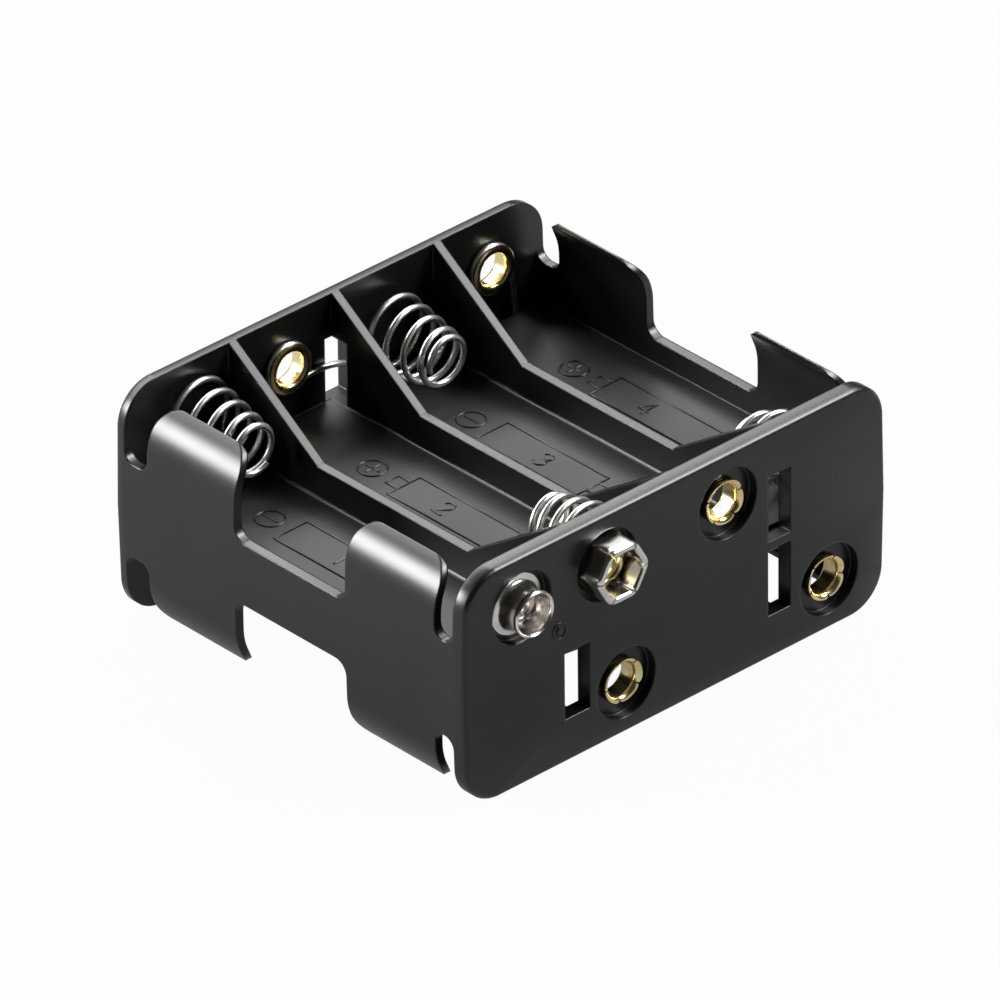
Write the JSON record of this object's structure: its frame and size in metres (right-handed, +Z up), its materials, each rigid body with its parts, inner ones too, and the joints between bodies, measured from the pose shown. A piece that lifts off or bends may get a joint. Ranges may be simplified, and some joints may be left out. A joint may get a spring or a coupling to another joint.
{
  "type": "cylindrical cell holder",
  "caption": "Flat black holder for AA cells on both sides of one floor, with curled ears, sprung wire contacts, hollow rivets and a snap pair on one end plate.",
  "frame": {"origin": "under the middle of the whole object's box, on the surface that the end plates stand on", "axes": "+X across the four cells, with the snaps on the side of -X; +Y along the cells, away from the snaps; +Z up"},
  "size_m": [0.064, 0.0598, 0.0295],
  "materials": {
    "holder_plastic": "satin black moulded plastic",
    "spring_wire": "nickel-plated spring wire",
    "rivet_brass": "bright brass",
    "snap_nickel": "nickel-plated sheet"
  },
  "bodies": {
    "housing": {"holder": "holder_plastic", "eyelet_top_2": "rivet_brass", "eyelet_top_3": "rivet_brass", "eyelet_top_4": "rivet_brass", "eyelet_low_1": "rivet_brass", "eyelet_low_2": "rivet_brass", "eyelet_low_3": "rivet_brass", "eyelet_low_4": "rivet_brass", "snap_stud": "snap_nickel", "stud_rivet": "rivet_brass", "snap_socket": "snap_nickel", "socket_rivet": "rivet_brass"},
    "contact_top_1": {"spring_top_1": "spring_wire"},
    "contact_top_2": {"spring_top_2": "spring_wire"},
    "contact_top_3": {"spring_top_3": "spring_wire"},
    "contact_top_4": {"spring_top_4": "spring_wire"},
    "contact_low_1": {"spring_low_1": "spring_wire"},
    "contact_low_2": {"spring_low_2": "spring_wire"},
    "contact_low_3": {"spring_low_3": "spring_wire"},
    "contact_low_4": {"spring_low_4": "spring_wire"}
  },
  "joints": [
    {"name": "press_top_1", "type": "slide", "parent": "housing", "child": "contact_top_1", "axis": [0, 1, 0], "range_m": [0, 0.0085], "stiffness_N_per_m": 600, "deforming": ["spring_top_1"]},
    {"name": "press_top_2", "type": "slide", "parent": "housing", "child": "contact_top_2", "axis": [0, -1, 0], "range_m": [0, 0.0085], "stiffness_N_per_m": 600, "deforming": ["spring_top_2"]},
    {"name": "press_top_3", "type": "slide", "parent": "housing", "child": "contact_top_3", "axis": [0, 1, 0], "range_m": [0, 0.0085], "stiffness_N_per_m": 600, "deforming": ["spring_top_3"]},
    {"name": "press_top_4", "type": "slide", "parent": "housing", "child": "contact_top_4", "axis": [0, -1, 0], "range_m": [0, 0.0085], "stiffness_N_per_m": 600, "deforming": ["spring_top_4"]},
    {"name": "press_low_1", "type": "slide", "parent": "housing", "child": "contact_low_1", "axis": [0, -1, 0], "range_m": [0, 0.0085], "stiffness_N_per_m": 600, "deforming": ["spring_low_1"]},
    {"name": "press_low_2", "type": "slide", "parent": "housing", "child": "contact_low_2", "axis": [0, 1, 0], "range_m": [0, 0.0085], "stiffness_N_per_m": 600, "deforming": ["spring_low_2"]},
    {"name": "press_low_3", "type": "slide", "parent": "housing", "child": "contact_low_3", "axis": [0, -1, 0], "range_m": [0, 0.0085], "stiffness_N_per_m": 600, "deforming": ["spring_low_3"]},
    {"name": "press_low_4", "type": "slide", "parent": "housing", "child": "contact_low_4", "axis": [0, 1, 0], "range_m": [0, 0.0085], "stiffness_N_per_m": 600, "deforming": ["spring_low_4"]}
  ]
}
